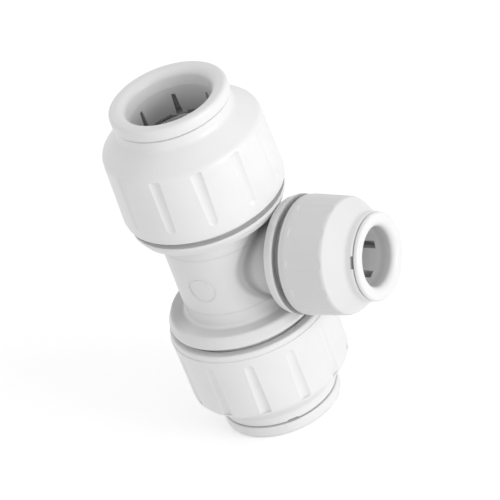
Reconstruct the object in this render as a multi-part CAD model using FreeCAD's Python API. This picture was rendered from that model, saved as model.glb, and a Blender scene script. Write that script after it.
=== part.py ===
import FreeCAD, Part

import math
import os

# Push-fit reducing tee: two large run ports in line and one smaller branch port, each with a screw cap,
# a slotted collet with steel teeth, a spacer washer and an O-ring.
# Frame: the run is vertical along Z, the branch points along +X, and the tee stands on its lower collet,
# whose flat front face is at z = 0 with the run axis through the origin. Millimetres throughout.
# Each port is drawn in its own frame: r from the port axis, t along it from the crossing of the centre lines.

# Clearances shared by all ports
SOCKET_CLEARANCE = 0.15
SLIDE_CLEARANCE = 0.25
THREAD_CLEARANCE = 0.3
TOOTH_CLEARANCE = 0.03
SEAM = 0.3
TOUCH = 0.1
SEAL_NIP = 0.1

# Screw thread of the caps: a quarter turn closes most of the gap (cap_gap) between cap and collar
THREAD_LEAD = 5.0
TIGHTENING_TURNS = 0.25

# Body moulding
RUN_NECK_RADIUS = 15.2
BRANCH_NECK_RADIUS = 10.9
NECK_FILLET = 1.4
SHELF_CORNER = 0.8
BARREL_CHAMFER = 0.8
SEAT_LEAD = 0.4

# Ring sunk in the side of the run neck, square to the branch
MARK_RADIUS = 3.9
MARK_WIDTH = 0.9
MARK_DEPTH = 0.18
MARK_DROP = 1.0

# Small edges of the loose pieces
LIP_ROUND = 0.4
WASHER_EDGE = 0.3
HEAD_FOOT = 0.6
TOOTH_LEAN = 0.7
LEAD_OVERRUN = 1.2


class RunPort:
    """Sizes of the two large ports"""

    pipe_od = 22.0
    reach = 49.45
    # body
    collar_face = 16.3
    collar_height = 3.1
    collar_edge = 0.9
    collar_radius = 20.7
    face_dish = 0.3
    shelf_radius = 19.5
    shelf_round = 0.8
    pipe_stop = 16.0
    waterway_radius = 9.8
    front_room = 15.8
    barrel_wall = 3.9
    seal_section = 3.2
    seal_seat_depth = 5.7
    # washer
    washer_flange = 1.2
    washer_reach = 2.6
    # cap
    cap_gap = 1.8
    rim_radius = 21.75
    rim_band = 1.65
    rim_step = 0.22
    rim_round = 0.6
    edge_radius = 21.35
    edge_round = 2.6
    shoulder_angle = 47.4
    ring_radius = 15.5
    ring_height = 2.6
    ring_fillet = 2.2
    relief = 0.8
    relief_depth = 2.6
    notch_width = 2.9
    notch_depth = 0.5
    flutes = 12
    flute_radius = 2.6
    flute_start = 21.3
    flute_lead = 1.3
    flute_end = 37.6
    flute_depth_rim = 0.35
    flute_depth_top = 0.6
    # collet
    flange_height = 3.3
    flange_radius = 15.85
    flange_front_round = 1.1
    flange_back_round = 0.35
    mouth_flare = 0.7
    mouth_depth = 4.4
    mouth_round = 2.3
    collet_wall = 1.7
    end_room = 0.5
    travel = 2.0
    lip_land = 2.0
    cone_angle = 14.0
    finger_lean = 0.0
    slots = 7
    slot_length = 6.2
    slot_width_end = 1.0
    slot_width_foot = 1.75
    tooth_inset = 0.9
    tooth_thickness = 0.5
    tooth_hold = 1.1
    tooth_angle = 30.0


class BranchPort:
    """Sizes of the small port"""

    pipe_od = 15.0
    reach = 46.2
    # body
    collar_face = 23.3
    collar_height = 3.0
    collar_edge = 0.8
    collar_radius = 15.5
    face_dish = 1.2
    shelf_radius = 14.8
    shelf_round = 0.8
    pipe_stop = 17.0
    waterway_radius = 6.4
    front_room = 13.45
    barrel_wall = 1.9
    seal_section = 2.6
    seal_seat_depth = 4.4
    # washer
    washer_flange = 1.0
    washer_reach = 1.5
    # cap
    cap_gap = 1.6
    rim_radius = 15.55
    rim_band = 1.5
    rim_step = 0.12
    rim_round = 0.5
    edge_radius = 15.2
    edge_round = 2.0
    shoulder_angle = 35.2
    ring_radius = 11.5
    ring_height = 2.1
    ring_fillet = 1.6
    relief = 0.9
    relief_depth = 2.2
    notch_width = 3.3
    notch_depth = 0.65
    flutes = 12
    flute_radius = 9.0
    flute_start = 27.5
    flute_lead = 0.6
    flute_end = 38.4
    flute_depth_rim = 0.16
    flute_depth_top = 0.19
    # collet
    flange_height = 1.25
    flange_radius = 11.4
    flange_front_round = 0.7
    flange_back_round = 0.2
    mouth_flare = 0.15
    mouth_depth = 3.0
    mouth_round = 1.9
    collet_wall = 1.45
    end_room = 0.4
    travel = 1.6
    lip_land = 1.6
    cone_angle = 14.0
    finger_lean = 0.2
    slots = 6
    slot_length = 4.6
    slot_width_end = 2.1
    slot_width_foot = 2.1
    tooth_inset = 1.2
    tooth_thickness = 0.4
    tooth_hold = 0.9
    tooth_angle = 30.0


# How the turned pieces happen to stand, in degrees in each port's own frame
TURNS = {
    "run_upper": dict(flute=8.0, notch=38.0, slot=18.0),
    "run_lower": dict(flute=5.6, notch=49.0, slot=20.0),
    "branch": dict(flute=2.0, notch=61.0, slot=15.0),
}

AXIS = FreeCAD.Vector(0, 0, 1)
ORIGIN = FreeCAD.Vector(0, 0, 0)
NEAR = 0.01


class Port:
    """A port's sizes with the radii (r_...) and the places along its axis (t_...) that follow from them"""

    def __init__(self, sizes):
        self.sizes = sizes
        feed = THREAD_LEAD * TIGHTENING_TURNS
        rise = math.tan(math.radians(sizes.cone_angle))
        shoulder = math.tan(math.radians(sizes.shoulder_angle))

        # body
        self.t_barrel_end = sizes.reach - sizes.front_room
        self.r_socket = sizes.pipe_od / 2 + SOCKET_CLEARANCE
        self.r_tooth_tip = sizes.pipe_od / 2 - SEAL_NIP
        self.r_seal_seat = self.r_tooth_tip + sizes.seal_section + TOUCH
        self.r_barrel = self.r_seal_seat + sizes.barrel_wall
        self.t_shelf = sizes.collar_face - sizes.collar_height
        self.t_seal_floor = self.t_barrel_end - sizes.seal_seat_depth
        self.t_seal_top = self.t_seal_floor + TOUCH / 2 + sizes.seal_section

        # washer, clear of the O-ring and of the barrel's end by the cap's feed
        self.r_washer_nose = self.r_seal_seat - TOUCH
        self.t_washer_nose = self.t_seal_top + feed + TOUCH
        self.t_washer_shoulder = self.t_barrel_end + feed + TOUCH
        self.t_washer_top = self.t_washer_shoulder + sizes.washer_flange

        # cap
        self.t_rim = sizes.collar_face + sizes.cap_gap
        self.t_band = self.t_rim + sizes.rim_band
        self.t_lip = sizes.reach - sizes.flange_height - SEAM
        self.t_ring_foot = self.t_lip - sizes.ring_height
        self.t_edge = self.t_ring_foot - (sizes.edge_radius - sizes.ring_radius) / shoulder
        self.t_ledge = self.t_washer_top + TOUCH
        self.r_thread = self.r_barrel + THREAD_CLEARANCE
        self.draft = (sizes.rim_radius - sizes.edge_radius) / (self.t_edge - self.t_band)

        # collet, its head clear of the cap's cone by its travel
        self.r_sleeve = self.r_socket + sizes.collet_wall
        self.r_hole = self.r_sleeve + SLIDE_CLEARANCE
        self.t_end = self.t_ledge + sizes.end_room
        self.t_slot_end = self.t_end + sizes.slot_length
        self.t_cone_top = self.t_lip - sizes.lip_land
        self.r_cone_foot = self.r_hole + rise * (self.t_cone_top - self.t_ledge)
        head_gap = rise * sizes.travel + TOUCH
        self.t_head = self.t_cone_top - (self.r_sleeve + head_gap - self.r_hole) / rise
        self.r_head = self.r_hole + rise * (self.t_cone_top - self.t_end - HEAD_FOOT) - head_gap


RUN = Port(RunPort)
BRANCH = Port(BranchPort)


def corner(before, here, after, radius):
    """Start, middle and end of the arc that rounds a corner of an outline"""
    to_before = (before - here).normalize()
    to_after = (after - here).normalize()
    half = to_before.getAngle(to_after) / 2
    reach = radius / math.tan(half)
    bisector = (to_before + to_after).normalize()
    centre = here + bisector * (radius / math.sin(half))
    return here + to_before * reach, centre - bisector * radius, here + to_after * reach


def outline(points):
    """Closed face from (r, t) points. A third value rounds that corner with its radius."""
    places = [FreeCAD.Vector(p[0], 0, p[1]) for p in points]
    radii = [p[2] if len(p) > 2 else 0.0 for p in points]
    count = len(places)
    stretches = []
    for i, radius in enumerate(radii):
        here = places[i]
        if radius:
            stretches.append(corner(places[i - 1], here, places[(i + 1) % count], radius))
        else:
            stretches.append((here, None, here))
    edges = []
    for i, (start, middle, end) in enumerate(stretches):
        if middle:
            edges.append(Part.Arc(start, middle, end).toShape())
        edges.append(Part.makeLine(end, stretches[(i + 1) % count][0]))
    return Part.Face(Part.Wire(edges))


def lathe(points, degrees=360.0):
    """Solid of revolution about the port axis"""
    return outline(points).revolve(ORIGIN, AXIS, degrees)


def turned(shape, degrees):
    copy = shape.copy()
    copy.rotate(ORIGIN, AXIS, degrees)
    return copy


def ring_of(shape, count, first=0.0):
    return [turned(shape, first + 360.0 / count * i) for i in range(count)]


def upper(shape):
    copy = shape.copy()
    copy.translate(AXIS * RunPort.reach)
    return copy


def lower(shape):
    copy = shape.copy()
    copy.rotate(ORIGIN, FreeCAD.Vector(1, 0, 0), 180)
    return upper(copy)


def branch(shape):
    copy = shape.copy()
    copy.rotate(ORIGIN, FreeCAD.Vector(0, 1, 0), 90)
    return upper(copy)


# Tee body


def port_outside(port, r_neck):
    """Neck, flared collar and threaded barrel of one port"""
    s = port.sizes
    return lathe(
        [
            (0, 0),
            (r_neck, 0),
            (r_neck, port.t_shelf, SHELF_CORNER),
            (s.shelf_radius, port.t_shelf, s.shelf_round),
            (s.collar_radius, s.collar_face - s.collar_edge),
            (s.collar_radius, s.collar_face),
            (port.r_barrel, s.collar_face - s.face_dish),
            (port.r_barrel, port.t_barrel_end - BARREL_CHAMFER),
            (port.r_barrel - BARREL_CHAMFER, port.t_barrel_end),
            (0, port.t_barrel_end),
        ]
    )


def port_inside(port):
    """Waterway, pipe socket with its stop, and O-ring seat"""
    s = port.sizes
    return lathe(
        [
            (0, 0),
            (s.waterway_radius, 0),
            (s.waterway_radius, s.pipe_stop),
            (port.r_socket, s.pipe_stop),
            (port.r_socket, port.t_seal_floor),
            (port.r_seal_seat, port.t_seal_floor),
            (port.r_seal_seat, port.t_barrel_end - SEAT_LEAD),
            (port.r_seal_seat + SEAT_LEAD, port.t_barrel_end),
            (0, port.t_barrel_end),
        ]
    )


def neck_edges(shape):
    """Where the branch neck leaves the run neck"""
    centre = AXIS * RunPort.reach
    found = []
    for edge in shape.Edges:
        points = [p - centre for p in edge.discretize(9)]
        on_run = all(abs(math.hypot(p.x, p.y) - RUN_NECK_RADIUS) < NEAR for p in points)
        on_branch = all(abs(math.hypot(p.y, p.z) - BRANCH_NECK_RADIUS) < NEAR for p in points)
        if on_run and on_branch:
            found.append(edge)
    return found


def neck_mark():
    """Shallow ring in the side of the run neck"""
    centre = AXIS * (RunPort.reach - MARK_DROP)
    sideways = FreeCAD.Vector(0, -1, 0)
    outer = Part.makeCylinder(MARK_RADIUS, 2 * RUN_NECK_RADIUS, centre, sideways)
    inner = Part.makeCylinder(MARK_RADIUS - MARK_WIDTH, 2 * RUN_NECK_RADIUS, centre, sideways)
    core = Part.makeCylinder(RUN_NECK_RADIUS - MARK_DEPTH, 4 * MARK_RADIUS, centre - AXIS * 2 * MARK_RADIUS)
    return outer.cut([inner, core])


def tee_body():
    outside = upper(port_outside(RUN, RUN_NECK_RADIUS))
    outside = outside.fuse(lower(port_outside(RUN, RUN_NECK_RADIUS)))
    outside = outside.fuse(branch(port_outside(BRANCH, BRANCH_NECK_RADIUS))).removeSplitter()
    outside = outside.makeFillet(NECK_FILLET, neck_edges(outside))
    inside = upper(port_inside(RUN)).fuse(lower(port_inside(RUN))).fuse(branch(port_inside(BRANCH)))
    return outside.cut(inside).cut(neck_mark())


# Screw cap


def cap_shell(port):
    """Cap before its flutes: outside from the rim to the lip, inside from the lip's cone to the thread"""
    s = port.sizes
    r_band = s.rim_radius - s.rim_step
    r_relief = port.r_thread + s.relief
    t_relief = port.t_rim + s.relief_depth
    return lathe(
        [
            (port.r_hole, port.t_lip, LIP_ROUND),
            (s.ring_radius, port.t_lip, LIP_ROUND),
            (s.ring_radius, port.t_ring_foot, s.ring_fillet),
            (s.edge_radius, port.t_edge, s.edge_round),
            (s.rim_radius, port.t_band),
            (r_band, port.t_band),
            (r_band, port.t_rim, s.rim_round),
            (r_relief, port.t_rim),
            (r_relief, t_relief),
            (port.r_thread, t_relief + s.relief),
            (port.r_thread, port.t_ledge),
            (port.r_cone_foot, port.t_ledge),
            (port.r_hole, port.t_cone_top),
        ]
    )


def flute(port):
    """Cutter for one grip flute: runs in by the rim, then gets wider and deeper up to its square end"""
    s = port.sizes
    t_start = s.flute_start + s.flute_lead
    r_start = s.rim_radius - port.draft * (t_start - port.t_band) + s.flute_radius - s.flute_depth_rim
    r_end = s.rim_radius - port.draft * (s.flute_end - port.t_band) + s.flute_radius - s.flute_depth_top
    start = FreeCAD.Vector(r_start, 0, t_start)
    along = FreeCAD.Vector(r_end, 0, s.flute_end) - start
    bar = Part.makeCylinder(s.flute_radius, along.Length, start, along)
    along.normalize()
    r_tip = s.flute_radius - LEAD_OVERRUN * s.flute_depth_rim
    return bar.fuse(Part.makeCone(r_tip, s.flute_radius, s.flute_lead, start - along * s.flute_lead, along))


def lip_notch(port):
    """One of the two notches in the front of the cap's lip"""
    s = port.sizes
    foot = FreeCAD.Vector(0, -s.notch_width / 2, port.t_lip - s.notch_depth)
    return Part.makeBox(2 * s.ring_radius, s.notch_width, s.notch_depth, foot)


def screw_cap(port, flute_turn, notch_turn):
    cuts = ring_of(flute(port), port.sizes.flutes, flute_turn) + ring_of(lip_notch(port), 2, notch_turn)
    return cap_shell(port).cut(cuts)


# Collet


def collet_blank(port):
    """Collet before its slots: flange, sleeve, and a head that runs up the cap's cone"""
    s = port.sizes
    t_flange = s.reach - s.flange_height
    return lathe(
        [
            (port.r_socket + s.mouth_flare, s.reach, s.mouth_round),
            (s.flange_radius, s.reach, s.flange_front_round),
            (s.flange_radius, t_flange, s.flange_back_round),
            (port.r_sleeve, t_flange),
            (port.r_sleeve, port.t_head),
            (port.r_head, port.t_end + HEAD_FOOT),
            (port.r_head - HEAD_FOOT, port.t_end),
            (port.r_socket - s.finger_lean, port.t_end),
            (port.r_socket, port.t_slot_end),
            (port.r_socket, s.reach - s.mouth_depth),
        ]
    )


def finger_slot(port):
    """Cutter for one slot, from the collet's inner end up to the slot's square end"""
    s = port.sizes
    half_end = s.slot_width_end / 2
    half_foot = s.slot_width_foot / 2
    corners = [
        FreeCAD.Vector(0, -half_foot, port.t_end),
        FreeCAD.Vector(0, half_foot, port.t_end),
        FreeCAD.Vector(0, half_end, port.t_slot_end),
        FreeCAD.Vector(0, -half_end, port.t_slot_end),
    ]
    face = Part.Face(Part.makePolygon(corners + corners[:1]))
    return face.extrude(FreeCAD.Vector(s.flange_radius, 0, 0))


def tooth_section(port, room):
    """Outline of a steel tooth, leaning inwards from its hold in the finger to its edge"""
    s = port.sizes
    t_hold = port.t_end + s.tooth_inset
    r_hold = port.r_socket + s.tooth_hold + room
    return [
        (r_hold, t_hold - room),
        (r_hold, t_hold + s.tooth_thickness + room),
        (port.r_tooth_tip, t_hold - TOOTH_LEAN + s.tooth_thickness / 2 + room),
        (port.r_tooth_tip, t_hold - TOOTH_LEAN + s.tooth_thickness / 4 - room),
    ]


def tooth_ring(port, room, degrees):
    """A tooth in the middle of each finger"""
    tooth = turned(lathe(tooth_section(port, room), degrees), -degrees / 2)
    return ring_of(tooth, port.sizes.slots, 180.0 / port.sizes.slots)


def grip_teeth(port):
    return Part.makeCompound(tooth_ring(port, 0.0, port.sizes.tooth_angle))


def collet(port):
    side_room = math.degrees(2 * TOOTH_CLEARANCE / port.r_tooth_tip)
    seats = tooth_ring(port, TOOTH_CLEARANCE, port.sizes.tooth_angle + side_room)
    return collet_blank(port).cut(ring_of(finger_slot(port), port.sizes.slots) + seats)


# Seals and washers


def o_ring(port):
    section = port.sizes.seal_section / 2
    return Part.makeTorus(port.r_tooth_tip + section, section, AXIS * (port.t_seal_top - section))


def spacer_washer(port):
    """Nose inside the O-ring seat and a flange that the cap's ledge pushes"""
    r_bore = port.r_socket + SLIDE_CLEARANCE
    r_flange = port.r_washer_nose + port.sizes.washer_reach
    return lathe(
        [
            (r_bore, port.t_washer_nose, WASHER_EDGE),
            (port.r_washer_nose, port.t_washer_nose, WASHER_EDGE),
            (port.r_washer_nose, port.t_washer_shoulder),
            (r_flange, port.t_washer_shoulder, WASHER_EDGE),
            (r_flange, port.t_washer_top, WASHER_EDGE),
            (r_bore, port.t_washer_top, WASHER_EDGE),
        ]
    )


def port_pieces(port, turns):
    """The five loose pieces of a port, in the port's own frame"""
    return {
        "screw_cap": screw_cap(port, turns["flute"], turns["notch"]),
        "collet": turned(collet(port), turns["slot"]),
        "grip_teeth": turned(grip_teeth(port), turns["slot"]),
        "spacer_washer": spacer_washer(port),
        "o_ring": o_ring(port),
    }


def main():
    os.makedirs("parts", exist_ok=True)
    pieces = {"tee_body": tee_body()}
    for name, port, place in (("run_upper", RUN, upper), ("run_lower", RUN, lower), ("branch", BRANCH, branch)):
        for piece, shape in port_pieces(port, TURNS[name]).items():
            pieces[f"{name}_{piece}"] = place(shape)
    for name, shape in pieces.items():
        shape.exportStep(f"parts/{name}.step")
        print(f"{name}: {len(shape.Solids)} solid(s), {shape.Volume / 1000:.2f} cm3, valid {shape.isValid()}")


main()
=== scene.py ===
import math

import bpy
from bpy.props import FloatProperty, FloatVectorProperty, PointerProperty
from mathutils import Matrix, Vector


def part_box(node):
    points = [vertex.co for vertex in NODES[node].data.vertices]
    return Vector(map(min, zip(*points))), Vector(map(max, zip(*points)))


bl_info = {
    "name": "Reducing Tee Looks",
    "version": (1, 0, 0),
    "blender": (4, 5, 0),
    "location": "View3D > Sidebar > Reducing Tee",
    "description": "Moulded plastic, steel and rubber finishes and a pale studio"
    " for a push-fit reducing tee",
    "category": "Object",
}

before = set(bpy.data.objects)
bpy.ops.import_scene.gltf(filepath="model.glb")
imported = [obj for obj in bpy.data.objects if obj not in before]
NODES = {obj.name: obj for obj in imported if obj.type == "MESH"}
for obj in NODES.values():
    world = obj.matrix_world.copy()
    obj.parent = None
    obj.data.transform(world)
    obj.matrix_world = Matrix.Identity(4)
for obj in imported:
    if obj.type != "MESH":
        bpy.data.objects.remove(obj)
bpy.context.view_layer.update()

PORTS = ("run_upper", "run_lower", "branch")
BLACK = (0, 0, 0, 1)
MM = 0.001

# Rays by which open_air looks round at each point
AIR_RAYS = 12

# The crossing of the centre lines, and how far from it the collets' faces stand
BODY_LOW, BODY_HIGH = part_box("tee_body")
CENTRE = Vector((0, 0, (BODY_LOW.z + BODY_HIGH.z) / 2))
RUN_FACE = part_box("run_upper_collet")[1].z - CENTRE.z
BRANCH_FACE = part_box("branch_collet")[1].x

# Radii of the body's two necks, and the radius where the branch cap's side ends
RUN_NECK = 15.2 * MM
BRANCH_NECK = 10.9 * MM
BRANCH_CAP_EDGE = 15.2 * MM

# Where the painted shades of the body come in or fade. First along X and the height above the
# crossing
TOWARDS_BRANCH = (5 * MM, 9 * MM)
AWAY_FROM_BRANCH = (6 * MM, 15 * MM)
BELOW_NECK = (9 * MM, 11 * MM)
PAST_COLLAR_FACES = (13.6 * MM, 14.2 * MM)

# and then outwards from the run's or the branch's centre line
OFF_RUN_NECK = (RUN_NECK, RUN_NECK + 0.6 * MM)
ONTO_COLLARS = (RUN_NECK + 0.2 * MM, RUN_NECK + 1.4 * MM)
INTO_CREASE = (RUN_NECK - 0.2 * MM, RUN_NECK + 1.0 * MM)
OUT_OF_CREASE = (RUN_NECK + 1.2 * MM, RUN_NECK + 3.4 * MM)
OFF_BRANCH_NECK = (BRANCH_NECK + 0.4 * MM, BRANCH_NECK + 1.6 * MM)
ONTO_BRANCH_CAP_SIDE = (BRANCH_CAP_EDGE - 0.5 * MM, BRANCH_CAP_EDGE - 0.1 * MM)

# Depths at which the flare of the branch collet, and the shade painted in it, begin and end
INTO_FLARE = (0.8 * MM, 2.2 * MM)
OUT_OF_FLARE = (3.6 * MM, 5.2 * MM)

# Shares in those shades: of the crease outside its deepest part, of the branch neck in the open,
# and what the branch takes off the shade of the collars above and below it
SHALLOW_CREASE = 0.2
OPEN_BRANCH_NECK = 0.5
LIT_BY_BRANCH = 0.4

# Fine marks of the body: heights of the rings round the run neck above the crossing, the thin
# step on the branch neck beside its collar, and the ring of the mould's gate
RING_HEIGHTS = (8.2 * MM, -9.0 * MM)
# Widths of the rings' relief and of the shade painted along them
RING_WIDTH, RING_SHADE_WIDTH = 0.45 * MM, 0.5 * MM
COLLAR_STEP, STEP_WIDTH = 17.6 * MM, 0.5 * MM
GATE_RADIUS, GATE_RING_WIDTH, GATE_TIP_WIDTH = 2.0 * MM, 0.3 * MM, 0.8 * MM
PARTING_WIDTH = 0.12 * MM

# Where those marks come in or fade
OFF_RUN_NECK_RING = (RUN_NECK, RUN_NECK + 0.4 * MM)
OFF_BRANCH_NECK_STEP = (BRANCH_NECK + 0.4 * MM, BRANCH_NECK + 0.7 * MM)
OUT_OF_RUN_BORE = (13.0 * MM, 13.5 * MM)
OUT_OF_BRANCH_BORE = (9.5 * MM, 10.0 * MM)
ONTO_BACK = (10 * MM, 11 * MM)

# How far they stand out, in parts of the skin's depth
RING_RELIEF = 3.0
PARTING_RELIEF = 2.0
GATE_RELIEF = 3.0
STEP_RELIEF = 4.0

# Plastic: width of its clouds and grain, the tones of its clouds, and its share of grain in the
# skin's height
CLOUD_SIZE, GRAIN_SIZE = 9 * MM, 0.16 * MM
CLOUD_DARK, CLOUD_LIGHT = 0.985, 1.01
CLOUD_ROUGHNESS, GRAIN_ROUGHNESS = 0.1, 0.06
GRAIN_HEIGHT = 0.2
PLASTIC_IOR = 1.49

# Steel: width of the gaps with painted shade, of its rolling marks and its blots, and their tones
STEEL_GAP = 4 * MM
MARK_SIZE, MARK_STRETCH, MARK_DEPTH = 1.2 * MM, (1, 1, 30), 0.006 * MM
BLOT_SIZE, BLOT_DARK, BLOT_LIGHT = 2.5 * MM, 0.88, 1.05
STEEL_FINGER_SHADE = 0.7
STEEL_ROUGHNESS, MARK_ROUGHNESS = 0.48, 0.2

# Rubber: width of its dust and pores, and the tone and the roughness of the dust
DUST_SIZE, PORE_SIZE, PORE_DEPTH = 1.5 * MM, 0.12 * MM, 0.02 * MM
DUST_LIGHT = 2.2
RUBBER_ROUGHNESS, DUST_ROUGHNESS = 0.5, 0.25
RUBBER_IOR = 1.5

# Stage, in metres, but the sensor in millimetres
FLOOR_RADIUS, FLOOR_SIDES = 3.0, 96
MOTTLE_SIZE = 0.05
FLOOR_DARK, FLOOR_LIGHT = (0.95, 0.95, 0.95, 1), (0.97, 0.97, 0.97, 1)
SENSOR_WIDTH = 36
NEAREST, FARTHEST = 0.01, 20


class Num:
    """A number that varies over a surface. Sums on it add Math nodes."""

    def __init__(self, shader, socket):
        self.shader = shader
        self.socket = socket

    def maths(self, operation, *values):
        settings = {"operation": operation}
        return self.shader.node("ShaderNodeMath", settings, dict(enumerate(values))).num()

    def __add__(self, other):
        return self.maths("ADD", self, other)

    def __radd__(self, other):
        return self.maths("ADD", other, self)

    def __sub__(self, other):
        return self.maths("SUBTRACT", self, other)

    def __rsub__(self, other):
        return self.maths("SUBTRACT", other, self)

    def __mul__(self, other):
        return self.maths("MULTIPLY", self, other)

    def __rmul__(self, other):
        return self.maths("MULTIPLY", other, self)

    def __neg__(self):
        return self.maths("SUBTRACT", 0, self)

    def __abs__(self):
        return self.maths("ABSOLUTE", self)

    def __pow__(self, other):
        return self.maths("POWER", self, other)

    def most(self, other):
        return self.maths("MAXIMUM", self, other)

    def ramp(self, low, high):
        """0 at low, 1 at high and a smooth rise between them"""
        settings = {"interpolation_type": "SMOOTHSTEP", "clamp": True}
        values = {"Value": self, "From Min": low, "From Max": high}
        return self.shader.node("ShaderNodeMapRange", settings, values).num()

    def line(self, at, width):
        """1 on a fine line at that value, fading to 0 on both sides"""
        return 1 - abs(self - at).ramp(width / 4, width)


class Made:
    """A node that was added, and its outputs"""

    def __init__(self, shader, node):
        self.shader = shader
        self.node = node

    def num(self, name=0):
        return Num(self.shader, self.node.outputs[name])

    def out(self, name=0):
        return self.node.outputs[name]


class Shader:
    """The node tree of a material or of the world"""

    def __init__(self, owner):
        owner.use_nodes = True
        self.tree = owner.node_tree
        self.tree.nodes.clear()

    def node(self, kind, settings=None, values=None):
        """Adds a node: its settings first, then the values and links of its sockets"""
        made = self.tree.nodes.new(kind)
        for name, setting in (settings or {}).items():
            setattr(made, name, setting)
        for name, value in (values or {}).items():
            if isinstance(value, Num):
                value = value.socket
            if isinstance(value, bpy.types.NodeSocket):
                self.tree.links.new(value, made.inputs[name])
            else:
                made.inputs[name].default_value = value
        return Made(self, made)

    def place(self):
        """Where a point of the surface lies on the resting part, in metres"""
        return self.node("ShaderNodeTexCoord").out("Object")

    def from_crossing(self, place):
        """X, Y and height of a place, from the crossing of the centre lines"""
        parts = self.node("ShaderNodeSeparateXYZ", None, {"Vector": place})
        return parts.num("X"), parts.num("Y"), parts.num("Z") - CENTRE.z

    def scaled(self, vector, scale):
        settings = {"operation": "MULTIPLY"}
        return self.node("ShaderNodeVectorMath", settings, {0: vector, 1: scale}).out("Vector")

    def noise(self, vector, size, detail=2.0, roughness=0.5):
        """Cloudy noise around 0.5, whose blots are about size metres across"""
        values = {"Vector": vector, "Scale": 1 / size, "Detail": detail, "Roughness": roughness}
        return self.node("ShaderNodeTexNoise", None, values).num("Fac")

    def blend(self, factor, first, second):
        settings = {"data_type": "RGBA"}
        return self.node("ShaderNodeMix", settings, {0: factor, 6: first, 7: second}).out(2)

    def open_air(self, reach):
        """1 on open surfaces, falling towards 0 in corners and gaps narrower than reach"""
        settings = {"samples": AIR_RAYS}
        return self.node("ShaderNodeAmbientOcclusion", settings, {"Distance": reach}).num("AO")

    def bump(self, height, distance):
        """Normal of a surface raised by height, from 0 to 1, times distance in metres"""
        values = {"Strength": 1.0, "Distance": distance, "Height": height}
        return self.node("ShaderNodeBump", None, values).out("Normal")

    def surface(self, values):
        made = self.node("ShaderNodeBsdfPrincipled", None, values)
        self.node("ShaderNodeOutputMaterial", None, {"Surface": made.out()})


def away(first, second):
    """Distance from the line that both values are measured across"""
    return (first * first + second * second) ** 0.5


def shade(colour, factor):
    """A colour made darker or lighter by a factor"""
    return tuple(part * factor for part in colour[:3]) + (1.0,)


def dress(node, material):
    """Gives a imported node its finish"""
    for slot in NODES[node].material_slots:
        slot.material = material


# Painted shades: how much darker a plastic is painted at a place where shade falls, from 0 to 1


def gap_shade(s, place, finish):
    """Painted shade of the caps and washers, darker in their corners and gaps"""
    return (1 - s.open_air(finish.gap_reach)) * finish.loose_shade


def branch_cap_shade(s, place, finish):
    """Painted shade of the branch cap: in its gaps and on its side, between the run caps"""
    _, y, above = s.from_crossing(place)
    on_side = away(y, above).ramp(*ONTO_BRANCH_CAP_SIDE)
    return gap_shade(s, place, finish) + on_side * finish.side_shade


def run_bore_shade(s, place, finish):
    """Painted shade of the run collets, which deepens inwards along the bore"""
    _, _, above = s.from_crossing(place)
    depth = RUN_FACE - abs(above)
    return depth.ramp(finish.bore_start, finish.bore_end) * finish.bore_shade


def branch_bore_shade(s, place, finish):
    """Painted shade of the branch collet, in the flare of its mouth"""
    x, _, _ = s.from_crossing(place)
    depth = BRANCH_FACE - x
    return depth.ramp(*INTO_FLARE) * (1 - depth.ramp(*OUT_OF_FLARE)) * finish.flare_shade


def body_shade(s, place, finish):
    """Painted shade of the body: on the branch neck, in the crease round its foot, on the run
    collars' faces, most on the lower one's far side as painted shadow, and along the fine rings"""
    x, y, above = s.from_crossing(place)
    from_run, from_branch = away(x, y), away(y, above)
    branch_side = x.ramp(*TOWARDS_BRANCH)

    # Painted shade in the crease round the foot of the branch
    beside = 1 - from_branch.ramp(BRANCH_NECK, BRANCH_NECK + finish.crease_width)
    deepest = from_run.ramp(*INTO_CREASE) * (1 - from_run.ramp(*OUT_OF_CREASE))
    crease = beside * (deepest * (1 - SHALLOW_CREASE) + SHALLOW_CREASE) * branch_side

    # Painted shade on the branch neck and the faces of the run collars, deeper where shut in
    on_branch = (1 - from_branch.ramp(*OFF_BRANCH_NECK)) * branch_side
    on_collars = from_run.ramp(*ONTO_COLLARS) * (1 - abs(above).ramp(*PAST_COLLAR_FACES))
    on_collars = on_collars * (1 - branch_side * LIT_BY_BRANCH)
    shut_in = 1 - s.open_air(finish.pocket_reach)
    under = shut_in * (1 - OPEN_BRANCH_NECK) + OPEN_BRANCH_NECK
    branch_pocket = under * on_branch * finish.branch_shade
    pockets = branch_pocket.most(shut_in * on_collars * finish.collar_shade)

    # Painted shadow of the neck on the lower collar's face, away from the branch
    neck_shadow = (-x).ramp(*AWAY_FROM_BRANCH) * (-above).ramp(*BELOW_NECK) * on_collars
    on_neck = 1 - from_run.ramp(*OFF_RUN_NECK)
    # Painted shade along the fine rings round the run neck
    rings = sum(above.line(height, RING_SHADE_WIDTH) for height in RING_HEIGHTS) * on_neck
    # The neck's painted shadow and the painted shade of the rings
    marks = neck_shadow * finish.neck_shadow_strength + rings * finish.ring_shade
    return pockets + crease * finish.crease_shade + marks


def body_relief(s, place):
    """Fine rings round the run neck, the step on the branch neck, the mould's parting line and the
    gate's stub at the back"""
    x, y, above = s.from_crossing(place)
    from_run, from_branch, from_gate = away(x, y), away(y, above), away(x, above)

    on_run_neck = 1 - from_run.ramp(*OFF_RUN_NECK_RING)
    rings = sum(above.line(height, RING_WIDTH) for height in RING_HEIGHTS) * on_run_neck

    outside = from_run.ramp(*OUT_OF_RUN_BORE) * from_branch.ramp(*OUT_OF_BRANCH_BORE)
    parting = y.line(0.0, PARTING_WIDTH) * outside

    stub = from_gate.line(GATE_RADIUS, GATE_RING_WIDTH) + from_gate.line(0.0, GATE_TIP_WIDTH)
    gate = y.ramp(*ONTO_BACK) * stub

    on_branch_neck = 1 - from_branch.ramp(*OFF_BRANCH_NECK_STEP)
    step = x.line(COLLAR_STEP, STEP_WIDTH) * on_branch_neck
    raised = rings * RING_RELIEF + parting * PARTING_RELIEF
    return raised + gate * GATE_RELIEF + step * STEP_RELIEF


# Finishes


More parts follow.
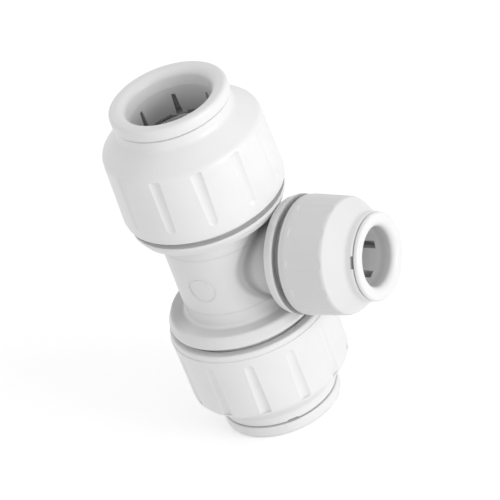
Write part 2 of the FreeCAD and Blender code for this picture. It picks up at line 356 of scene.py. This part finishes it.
def moulded_plastic(name, colour, finish, darkens=gap_shade, relief=None):
    """White plastic out of a polished mould: faint clouds in tone and gloss, and a skin that is not
    quite flat. darkens is one of the painted shades above, which blends the colour towards black
    where shade falls. relief gives what stands out at a place, in parts of the skin's depth."""
    material = bpy.data.materials.new(name)
    s = Shader(material)
    place = s.place()
    cloud = s.noise(place, CLOUD_SIZE, detail=3.0)
    peel = s.noise(place, finish.peel_size)
    grain = s.noise(place, GRAIN_SIZE, detail=1.0)
    height = peel * (1 - GRAIN_HEIGHT) + grain * GRAIN_HEIGHT
    if relief:
        height = height + relief(s, place)
    unshaded = s.blend(cloud.ramp(0.25, 0.75), shade(colour, CLOUD_DARK), shade(colour, CLOUD_LIGHT))
    uneven = (cloud - 0.5) * CLOUD_ROUGHNESS + (grain - 0.5) * GRAIN_ROUGHNESS
    s.surface(
        {
            # Base colour with the shade painted in, blended towards black
            "Base Color": s.blend(darkens(s, place, finish), unshaded, BLACK),
            "Roughness": finish.gloss_loss + uneven,
            "IOR": PLASTIC_IOR,
            "Normal": s.bump(height, finish.skin_depth),
        }
    )
    return material


def rolled_steel(name, colour):
    """Thin stainless strip with rolling marks round the port, and painted shade between the fingers
    """
    material = bpy.data.materials.new(name)
    s = Shader(material)
    place = s.place()
    # Painted shade in the narrow gaps between the fingers
    shade_between_fingers = (1 - s.open_air(STEEL_GAP)).ramp(0.2, 0.8) * STEEL_FINGER_SHADE
    marks = s.noise(s.scaled(place, MARK_STRETCH), MARK_SIZE, detail=4.0, roughness=0.7)
    blots = s.noise(place, BLOT_SIZE)
    unshaded = s.blend(blots, shade(colour, BLOT_DARK), shade(colour, BLOT_LIGHT))
    s.surface(
        {
            # Base colour with the shade painted in between the fingers, blended towards black
            "Base Color": s.blend(shade_between_fingers, unshaded, BLACK),
            "Metallic": 1.0,
            "Roughness": STEEL_ROUGHNESS + marks * MARK_ROUGHNESS,
            "Normal": s.bump(marks, MARK_DEPTH),
        }
    )
    return material


def seal_rubber(name, colour):
    """Black rubber with a dull, dusty skin"""
    material = bpy.data.materials.new(name)
    s = Shader(material)
    place = s.place()
    dust = s.noise(place, DUST_SIZE, detail=4.0)
    pores = s.noise(place, PORE_SIZE)
    tones = shade(colour, 1.0), shade(colour, DUST_LIGHT)
    s.surface(
        {
            "Base Color": s.blend(dust.ramp(0.45, 0.75), *tones),
            "Roughness": RUBBER_ROUGHNESS + dust * DUST_ROUGHNESS,
            "IOR": RUBBER_IOR,
            "Normal": s.bump(pores * 0.5 + dust, PORE_DEPTH),
        }
    )
    return material


def colour_property(name, description, default):
    return FloatVectorProperty(
        name=name, description=description, default=default, min=0, max=1, size=3, subtype="COLOR"
    )


def share_property(name, description, default):
    return FloatProperty(
        name=name, description=description, default=default, min=0, max=1, subtype="FACTOR"
    )


def fine_length_property(name, description, default):
    return FloatProperty(
        name=name, description=description, default=default, min=0, precision=6, unit="LENGTH"
    )


class TeeFinish(bpy.types.PropertyGroup):
    """Colours and surface of the plastic, steel and rubber, and the shades painted on them"""

    body_colour: colour_property("Body Colour", "Plastic of the tee body", (0.77, 0.77, 0.77))
    cap_colour: colour_property("Cap Colour", "Plastic of the screw caps", (0.81, 0.81, 0.81))
    collet_colour: colour_property("Collet Colour", "Plastic of the collets", (0.8, 0.8, 0.8))
    washer_colour: colour_property(
        "Washer Colour", "Plastic of the spacer washers", (0.78, 0.78, 0.76)
    )
    # The teeth's steel colour: their own grey, partly darkened as painted shade of the deep bores
    steel_colour: colour_property("Steel Colour", "Grip teeth", (0.19, 0.187, 0.184))
    rubber_colour: colour_property("Rubber Colour", "O-rings", (0.022, 0.022, 0.024))
    gloss_loss: share_property("Roughness", "How satin the plastic is", 0.36)
    peel_size: fine_length_property(
        "Ripple Size", "Width of the ripples in the plastic's skin", 1.1 * MM
    )
    skin_depth: fine_length_property(
        "Ripple Depth", "Depth of the ripples in the plastic's skin", 0.012 * MM
    )
    # From here on: shade painted into the colours, in the crease, on the branch neck and collars,
    # the neck's painted shadow, along the rings, in gaps, on the branch cap's side, in the run
    # bores and in the branch collet's flare
    crease_shade: share_property(
        "Crease Shade", "How much the body darkens in the crease round the foot of the branch", 0.3
    )
    crease_width: fine_length_property(
        "Crease Width", "Width of that shade beside the branch neck", 1.6 * MM
    )
    branch_shade: share_property(
        "Branch Neck Shade", "How much the branch neck darkens between the collars", 0.42
    )
    collar_shade: share_property(
        "Collar Shade", "How much the faces of the run collars darken beside the neck", 0.36
    )
    # Strength of the neck's shadow painted on the lower collar's face
    neck_shadow_strength: share_property(
        "Far Side Shade", "How much the lower collar's face darkens away from the branch", 0.25
    )
    pocket_reach: fine_length_property(
        "Pocket Reach", "Width of the shade on the branch neck and the collars", 12 * MM
    )
    ring_shade: share_property(
        "Ring Shade", "How much the fine rings round the run neck darken", 0.07
    )
    loose_shade: share_property(
        "Gap Shade", "How much the caps and washers darken in gaps", 0.12
    )
    gap_reach: fine_length_property("Gap Reach", "Width of that shade", 6 * MM)
    side_shade: share_property(
        "Branch Side Shade", "How much the branch cap's side darkens between the run caps", 0.16
    )
    bore_shade: share_property(
        "Bore Shade", "How much the run collets darken inwards along their bores", 0.43
    )
    bore_start: fine_length_property(
        "Bore Shade Start", "Depth at which that shade begins", 2 * MM
    )
    bore_end: fine_length_property(
        "Bore Shade End", "Depth at which that shade is full", 17 * MM
    )
    flare_shade: share_property(
        "Flare Shade", "How much the branch collet darkens in the flare of its mouth", 0.2
    )


def angle_property(name, description, degrees):
    return FloatProperty(
        name=name, description=description, default=math.radians(degrees), subtype="ANGLE"
    )


class TeeStudio(bpy.types.PropertyGroup):
    """Camera and light of the studio"""

    azimuth: angle_property("Azimuth", "Camera's turn round the tee; zero looks along +Y", 38.81)
    elevation: angle_property("Elevation", "Camera's angle above the horizon", 31.63)
    roll: angle_property("Roll", "Camera's turn about its own line of sight", -20.88)
    distance: FloatProperty(
        name="Distance", description="From the camera to the crossing of the centre lines",
        default=1.244, min=0.1, unit="LENGTH",
    )
    lens: FloatProperty(
        name="Lens", description="Focal length", default=347.16, min=1, unit="CAMERA"
    )
    aside: FloatVectorProperty(
        name="Framing", description="Camera's step to its right and upwards",
        default=(6.037 * MM, 0.31 * MM), size=2, unit="LENGTH",
    )
    dome: FloatProperty(
        name="Dome", description="Strength of the even light from all round", default=0.757, min=0
    )
    key_power: FloatProperty(
        name="Key Power", description="Power of the soft lamp in front of the branch",
        default=4.9, min=0, unit="POWER",
    )
    key_turn: angle_property("Key Turn", "Angle of the soft lamp from +X towards +Y", -6)
    key_height: angle_property("Key Height", "Angle of the soft lamp above the horizon", 8)
    key_size: FloatVectorProperty(
        name="Key Size", description="Width and height of the soft lamp", default=(0.5, 0.6),
        min=0.01, size=2, unit="LENGTH",
    )
    floor_glow: FloatProperty(
        name="Floor Glow", description="Light that the camera sees added to the floor",
        default=0.26, min=0,
    )


class TEE_OT_stage(bpy.types.Operator):
    """Makes the floor, the even white surroundings, the lamp and the camera"""

    bl_idname = "tee.stage"
    bl_label = "Stage"

    def execute(self, context):
        studio = context.scene.tee_studio
        context.scene.view_settings.view_transform = "Standard"
        self.surroundings(context, studio)
        self.floor(context, studio)
        self.key(context, studio)
        self.camera(context, studio)
        return {"FINISHED"}

    def seen(self, s):
        """1 for what the camera sees, directly, in a mirror or through glass, and 0 for the rest"""
        path = s.node("ShaderNodeLightPath")
        straight = path.num("Is Camera Ray")
        return straight.most(path.num("Is Glossy Ray")).most(path.num("Is Transmission Ray"))

    def surroundings(self, context, studio):
        world = bpy.data.worlds.new("white_surroundings")
        context.scene.world = world
        s = Shader(world)
        strength = self.seen(s) * (1 - studio.dome) + studio.dome
        values = {"Color": (1, 1, 1, 1), "Strength": strength}
        even = s.node("ShaderNodeBackground", None, values)
        s.node("ShaderNodeOutputWorld", None, {"Surface": even.out()})

    def floor(self, context, studio):
        material = bpy.data.materials.new("pale_floor")
        s = Shader(material)
        mottle = s.noise(s.place(), MOTTLE_SIZE, detail=3.0)
        colour = s.blend(mottle, FLOOR_DARK, FLOOR_LIGHT)
        paint = s.node("ShaderNodeBsdfDiffuse", None, {"Color": colour})
        strength = self.seen(s) * studio.floor_glow
        glow = s.node("ShaderNodeEmission", None, {"Strength": strength})
        both = s.node("ShaderNodeAddShader", None, {0: paint.out(), 1: glow.out()})
        s.node("ShaderNodeOutputMaterial", None, {"Surface": both.out()})
        bpy.ops.mesh.primitive_circle_add(
            vertices=FLOOR_SIDES, radius=FLOOR_RADIUS, fill_type="NGON"
        )
        floor = context.object
        floor.name = "studio_floor"
        floor.data.materials.append(material)

    def key(self, context, studio):
        lamp = bpy.data.lights.new("branch_side_softbox", "AREA")
        lamp.shape = "RECTANGLE"
        lamp.size, lamp.size_y = studio.key_size
        lamp.energy = studio.key_power
        turn, rise = studio.key_turn, studio.key_height
        level = Vector((math.cos(turn), math.sin(turn), 0))
        towards = level * math.cos(rise) + Vector((0, 0, math.sin(rise)))
        holder = bpy.data.objects.new(lamp.name, lamp)
        holder.location = CENTRE + towards
        holder.rotation_mode = "QUATERNION"
        holder.rotation_quaternion = towards.to_track_quat("Z", "Y")
        holder.visible_camera = False
        context.collection.objects.link(holder)

    def camera(self, context, studio):
        turn, rise, roll = studio.azimuth, studio.elevation, studio.roll
        level = Vector((math.cos(turn), math.sin(turn), 0))
        outwards = Vector((math.sin(turn), -math.cos(turn), 0))
        back = outwards * math.cos(rise) + Vector((0, 0, math.sin(rise)))
        upright = back.cross(level)
        right = math.cos(roll) * level + math.sin(roll) * upright
        up = math.cos(roll) * upright - math.sin(roll) * level
        lens = bpy.data.cameras.new("photo_view")
        lens.lens = studio.lens
        lens.sensor_width = SENSOR_WIDTH
        lens.clip_start = NEAREST
        lens.clip_end = FARTHEST
        camera = bpy.data.objects.new("photo_view", lens)
        step_right, step_up = studio.aside
        place = CENTRE + back * studio.distance + right * step_right + up * step_up
        turned = Matrix((right, up, back)).transposed().to_4x4()
        camera.matrix_world = Matrix.Translation(place) @ turned
        context.collection.objects.link(camera)
        context.scene.camera = camera


class TEE_OT_body(bpy.types.Operator):
    """Finishes the tee body"""

    bl_idname = "tee.body"
    bl_label = "Tee Body"

    def execute(self, context):
        finish = context.scene.tee_finish
        plastic = moulded_plastic(
            "body_plastic_satin", finish.body_colour, finish, body_shade, body_relief
        )
        dress("tee_body", plastic)
        return {"FINISHED"}


class TEE_OT_caps(bpy.types.Operator):
    """Finishes the three screw caps"""

    bl_idname = "tee.caps"
    bl_label = "Screw Caps"

    def execute(self, context):
        finish = context.scene.tee_finish
        colour = finish.cap_colour
        run = moulded_plastic("cap_plastic_satin", colour, finish)
        # The branch cap's plastic is a copy of the caps' plastic, with shade painted on its side
        branch = moulded_plastic("branch_cap_plastic_satin", colour, finish, branch_cap_shade)
        for port in PORTS:
            dress(f"{port}_screw_cap", branch if port == "branch" else run)
        return {"FINISHED"}


class TEE_OT_collets(bpy.types.Operator):
    """Finishes the three collets"""

    bl_idname = "tee.collets"
    bl_label = "Collets"

    def execute(self, context):
        finish = context.scene.tee_finish
        colour = finish.collet_colour
        # Run and branch collets get copies of the plastic with shade painted in the bores and the
        # flare
        run = moulded_plastic("collet_plastic_satin", colour, finish, run_bore_shade)
        branch = moulded_plastic("branch_collet_plastic_satin", colour, finish, branch_bore_shade)
        for port in PORTS:
            dress(f"{port}_collet", branch if port == "branch" else run)
        return {"FINISHED"}


class TEE_OT_teeth(bpy.types.Operator):
    """Finishes the steel teeth inside the collets"""

    bl_idname = "tee.teeth"
    bl_label = "Grip Teeth"

    def execute(self, context):
        steel = rolled_steel("stainless_strip", context.scene.tee_finish.steel_colour)
        for port in PORTS:
            dress(f"{port}_grip_teeth", steel)
        return {"FINISHED"}


class TEE_OT_seals(bpy.types.Operator):
    """Finishes the O-rings and the spacer washers"""

    bl_idname = "tee.seals"
    bl_label = "O-Rings and Washers"

    def execute(self, context):
        finish = context.scene.tee_finish
        rubber = seal_rubber("o_ring_rubber", finish.rubber_colour)
        plastic = moulded_plastic("washer_plastic_matt", finish.washer_colour, finish)
        for port in PORTS:
            dress(f"{port}_o_ring", rubber)
            dress(f"{port}_spacer_washer", plastic)
        return {"FINISHED"}


class TEE_PT_sidebar(bpy.types.Panel):
    """Colours, painted shades, camera, light and pieces of the reducing tee"""

    bl_idname = "TEE_PT_sidebar"
    bl_label = "Reducing Tee"
    bl_space_type = "VIEW_3D"
    bl_region_type = "UI"
    bl_category = "Reducing Tee"

    def draw(self, context):
        for group in (context.scene.tee_finish, context.scene.tee_studio):
            box = self.layout.box()
            for name in group.__annotations__:
                box.prop(group, name)
        for operator in OPERATORS:
            self.layout.operator(operator.bl_idname)


OPERATORS = (TEE_OT_stage, TEE_OT_body, TEE_OT_caps, TEE_OT_collets, TEE_OT_teeth, TEE_OT_seals)
CLASSES = (TeeFinish, TeeStudio, *OPERATORS, TEE_PT_sidebar)


def register():
    for item in CLASSES:
        bpy.utils.register_class(item)
    bpy.types.Scene.tee_finish = PointerProperty(type=TeeFinish)
    bpy.types.Scene.tee_studio = PointerProperty(type=TeeStudio)


def unregister():
    del bpy.types.Scene.tee_studio
    del bpy.types.Scene.tee_finish
    for item in reversed(CLASSES):
        bpy.utils.unregister_class(item)


def main():
    register()
    bpy.ops.tee.stage()
    bpy.ops.tee.body()
    bpy.ops.tee.caps()
    bpy.ops.tee.collets()
    bpy.ops.tee.teeth()
    bpy.ops.tee.seals()


if __name__ == "__main__":
    main()
